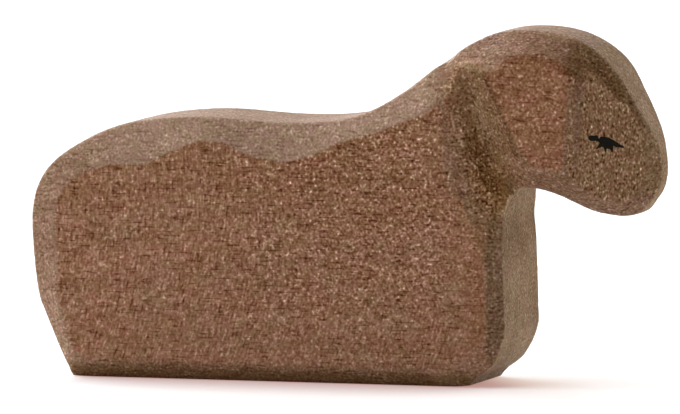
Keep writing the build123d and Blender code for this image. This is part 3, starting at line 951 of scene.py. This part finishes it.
def grain_and_painted_light_steps(n, noises):
    """Steps of seen brightness from flecks, saw marks, streaks, drops and dashes, and from the tones with their
    painted light and shade, the painted shade by the ear, the painted highlight at the throat and the nicks.
    """
    face, sawn, torn = n.attribute("face"), n.attribute("sawn"), n.attribute("torn")
    even = n.math("SUBTRACT", 1.0, n.times(n.math("MAXIMUM", sawn, face), EVEN_LESS))
    flecks = n.math("MAXIMUM", n.sparse(noises.flecks, FLECK_SHARP), FLECK_FLOOR)
    dashes = n.span(noises.dashes, *DASH_SPAN, 0, DASH_STEP)
    fine = n.total(
        n.times(n.times(flecks, even), FLECK_STEP),
        n.times(sawn, n.times(n.sparse(noises.saw, MARK_SHARP), SAW_STEP)),
        n.times(face, n.times(n.sparse(noises.streaks, MARK_SHARP), STREAK_STEP)),
        n.times(n.span(noises.drops, *DROP_SPAN, 0, DROP_STEP), even),
        n.times(dashes, n.math("SUBTRACT", 1.0, face)),
    )
    fine = n.times(fine, n.span(noises.cloud, *WIDE_SPAN, *CLOUD_SWING))
    return n.total(
        n.times(fine, n.attribute("busy")),
        n.span(noises.cloud, *WIDE_SPAN, *CLOUD_STEPS),
        n.times(n.attribute("ear_edge"), EAR_EDGE_STEP),
        n.attribute("tone"),
        n.times(n.attribute("throat_highlight"), THROAT_HIGHLIGHT_STEP),
        n.times(n.attribute("strip"), n.span(noises.patches, *NOISE_SPAN, *STRIP_STEPS)),
        n.times(n.times(torn, n.sparse(noises.flecks, MARK_SHARP)), TORN_FLECK_STEP),
        n.span(noises.bands, *NOISE_SPAN, *BAND_STEPS),
        n.times(torn, n.span(noises.cloud, *TORN_CLOUD, *TORN_STEPS)),
        n.times(n.attribute("nick"), NICK_STEP),
    )


def grain_bump(n, noises):
    """Raised flecks, drops and streaks, and sunk saw marks and dashes."""
    saw = n.span(noises.saw, 0.56, 0.74, 0, -SAW_BUMP)
    streaks = n.span(noises.streaks, 0.50, 0.72, 0, MARK_BUMP)
    height = n.total(
        n.times(noises.flecks, FLECK_BUMP),
        n.span(noises.drops, 0.62, 0.80, 0, MARK_BUMP),
        n.times(n.attribute("sawn"), saw),
        n.times(n.attribute("face"), streaks),
        n.span(noises.dashes, 0.60, 0.74, 0, -MARK_BUMP),
    )
    return n.add("Bump", {"Strength": BUMP_STRENGTH, "Distance": BUMP_DEPTH * MM, "Height": height}).outputs[0]


def stained_wood():
    """Close-grained wood under a thin brown stain, with saw marks, grain, pores and rubbed flecks, and light and
    shade painted into its colour.
    """
    n = Nodes("stained_wood")
    noises = wood_noises(n)
    colour = n.brighten(stain_and_painted_light_colour(n, noises), grain_and_painted_light_steps(n, noises))
    roughness = n.span(noises.flecks, *WIDE_SPAN, *ROUGHNESS)
    bare = n.times(n.attribute("strip"), n.math("SUBTRACT", 1.0, n.attribute("top")))
    shine = n.span(bare, *STRIP_SHINE_START, STAIN_SHINE, STRIP_SHINE)
    n.set(Base_Color=colour, Roughness=roughness, Normal=grain_bump(n, noises), Specular_IOR_Level=shine)
    return n.material


def eye_paint():
    """Thin black paint from a small brush, brown where it is drawn out."""
    n = Nodes("eye_paint")
    drag = n.noise(n.place((1.2, 1.2, 0.22)), 3)
    black, brown = PAINT_COLOURS
    colour = n.blend(n.span(drag, 0.4, 0.7), rgb(*black), rgb(*brown))
    bump = n.add("Bump", {"Strength": BUMP_STRENGTH, "Distance": PAINT_SINK * MM, "Height": drag}).outputs[0]
    roughness = n.span(drag, *WIDE_SPAN, *PAINT_ROUGHNESS)
    n.set(Base_Color=colour, Roughness=roughness, Normal=bump, Specular_IOR_Level=PAINT_SHINE)
    return n.material


def dress(name, mesh, material, node):
    """A piece of the figure that stands for a CAD node."""
    piece = bpy.data.objects.new(name, mesh)
    mesh.materials.append(material)
    bpy.context.scene.collection.objects.link(piece)
    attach(piece, "root")
    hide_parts(node)
    return piece


def seen_directly(tree):
    """1 for rays from the camera and its mirror and glass paths, and 0 for those that light other things."""
    path = tree.nodes.new("ShaderNodeLightPath")
    total = path.outputs["Is Camera Ray"]
    for kind in ("Is Glossy Ray", "Is Transmission Ray"):
        both = tree.nodes.new("ShaderNodeMath")
        both.operation = "MAXIMUM"
        tree.links.new(total, both.inputs[0])
        tree.links.new(path.outputs[kind], both.inputs[1])
        total = both.outputs[0]
    return total


def contact_shade(n):
    """Share of the soft shade where the figure stands close over the floor."""
    open_sky = n.add("AmbientOcclusion", {"Distance": CONTACT_REACH * MM}, samples=16).outputs["AO"]
    along, across = n.add("SeparateXYZ", {0: n.place((1, 1, 1))}).outputs[:2]
    ahead = n.math("ADD", along, n.times(across, CONTACT_SKEW))
    share = n.times(n.span(along, *CONTACT_RUMP), n.span(ahead, *CONTACT_TOE, 1.0, 0.0))
    return n.times(n.span(open_sky, *CONTACT_OPEN, CONTACT_SHADE, 0.0), share)


def build_floor():
    """A plain white floor that keeps the figure's shadow."""
    mesh = bpy.data.meshes.new("floor")
    corners = [(x * FLOOR_REACH, y * FLOOR_REACH, 0) for x, y in ((-1, -1), (1, -1), (1, 1), (-1, 1))]
    mesh.from_pydata(corners, [], [(0, 1, 2, 3)])
    floor = bpy.data.objects.new("floor", mesh)
    bpy.context.scene.collection.objects.link(floor)
    n = Nodes("floor_white")
    n.set(Base_Color=rgb(*FLOOR_WHITE), Roughness=0.9, Specular_IOR_Level=0.0)
    glow = n.add("Emission", {"Color": rgb(*FLOOR_GLOW), "Strength": 1.0})
    paper = n.add("BsdfDiffuse", {"Color": rgb(*FLOOR_PAPER)})
    open_floor = n.add("AddShader", {0: paper.outputs[0], 1: glow.outputs[0]})
    shade = n.add("Emission", {"Color": rgb(*FLOOR_SHADE), "Strength": 1.0})
    lit = n.add("MixShader", {0: contact_shade(n), 1: open_floor.outputs[0], 2: shade.outputs[0]})
    seen = n.add("MixShader", {0: seen_directly(n.tree), 1: n.shader.outputs[0], 2: lit.outputs[0]})
    n.tree.links.new(seen.outputs[0], n.tree.nodes["Material Output"].inputs["Surface"])
    mesh.materials.append(n.material)


def build_world(strength):
    """Even white surroundings, white to the eye and weaker as a light."""
    world = bpy.data.worlds.new("studio")
    world.use_nodes = True
    tree = world.node_tree
    level = tree.nodes.new("ShaderNodeMapRange")
    tree.links.new(seen_directly(tree), level.inputs["Value"])
    level.inputs["To Min"].default_value = strength
    level.inputs["To Max"].default_value = 1.0
    tree.links.new(level.outputs[0], tree.nodes["Background"].inputs["Strength"])
    tree.nodes["Background"].inputs["Color"].default_value = rgb(1, 1, 1)
    bpy.context.scene.world = world


def direction(azimuth, elevation):
    """Unit vector away from the figure. Azimuth 0 is before its -Y side and 90 before its nose."""
    a, e = math.radians(azimuth), math.radians(elevation)
    return Vector((math.sin(a) * math.cos(e), -math.cos(a) * math.cos(e), math.sin(e)))


def stand(name, data, location, away):
    """A lamp or camera at a place in metres, looking back along a direction."""
    thing = bpy.data.objects.new(name, data)
    thing.location = location
    thing.rotation_mode = "QUATERNION"
    thing.rotation_quaternion = away.to_track_quat("Z", "Y")
    bpy.context.scene.collection.objects.link(thing)
    return thing


def area_light(name, azimuth, elevation, power):
    """A square soft box that faces the figure and isn't seen itself."""
    away = direction(azimuth, elevation)
    lamp = bpy.data.lights.new(name, "AREA")
    lamp.size = LIGHT_SIZE
    lamp.energy = power
    box = stand(name, lamp, Vector(LIGHT_AIM) + away * LIGHT_DISTANCE, away)
    box.visible_camera = False


def build_camera():
    """The photograph's camera."""
    away = direction(CAMERA_AZIMUTH, CAMERA_ELEVATION)
    lens = bpy.data.cameras.new("camera")
    lens.sensor_width = SENSOR_WIDTH
    lens.lens = SENSOR_WIDTH * CAMERA_DISTANCE / PICTURE_WIDTH
    camera = stand("camera", lens, (Vector(CAMERA_TARGET) + away * CAMERA_DISTANCE) * MM, away)
    bpy.context.scene.camera = camera


body = dress("carved_body", carve_body(), stained_wood(), "wooden_body")
body_tree = BVHTree.FromObject(body, bpy.context.evaluated_depsgraph_get())
paint = eye_paint()
dress("brushed_right_eye", paint_eye(body_tree, -1), paint, "right_eye")
dress("brushed_left_eye", paint_eye(body_tree, 1), paint, "left_eye")

build_floor()
build_world(ROOM_LIGHT)
for light in LIGHTS:
    area_light(*light)
build_camera()
bpy.context.scene.view_settings.view_transform = "Standard"
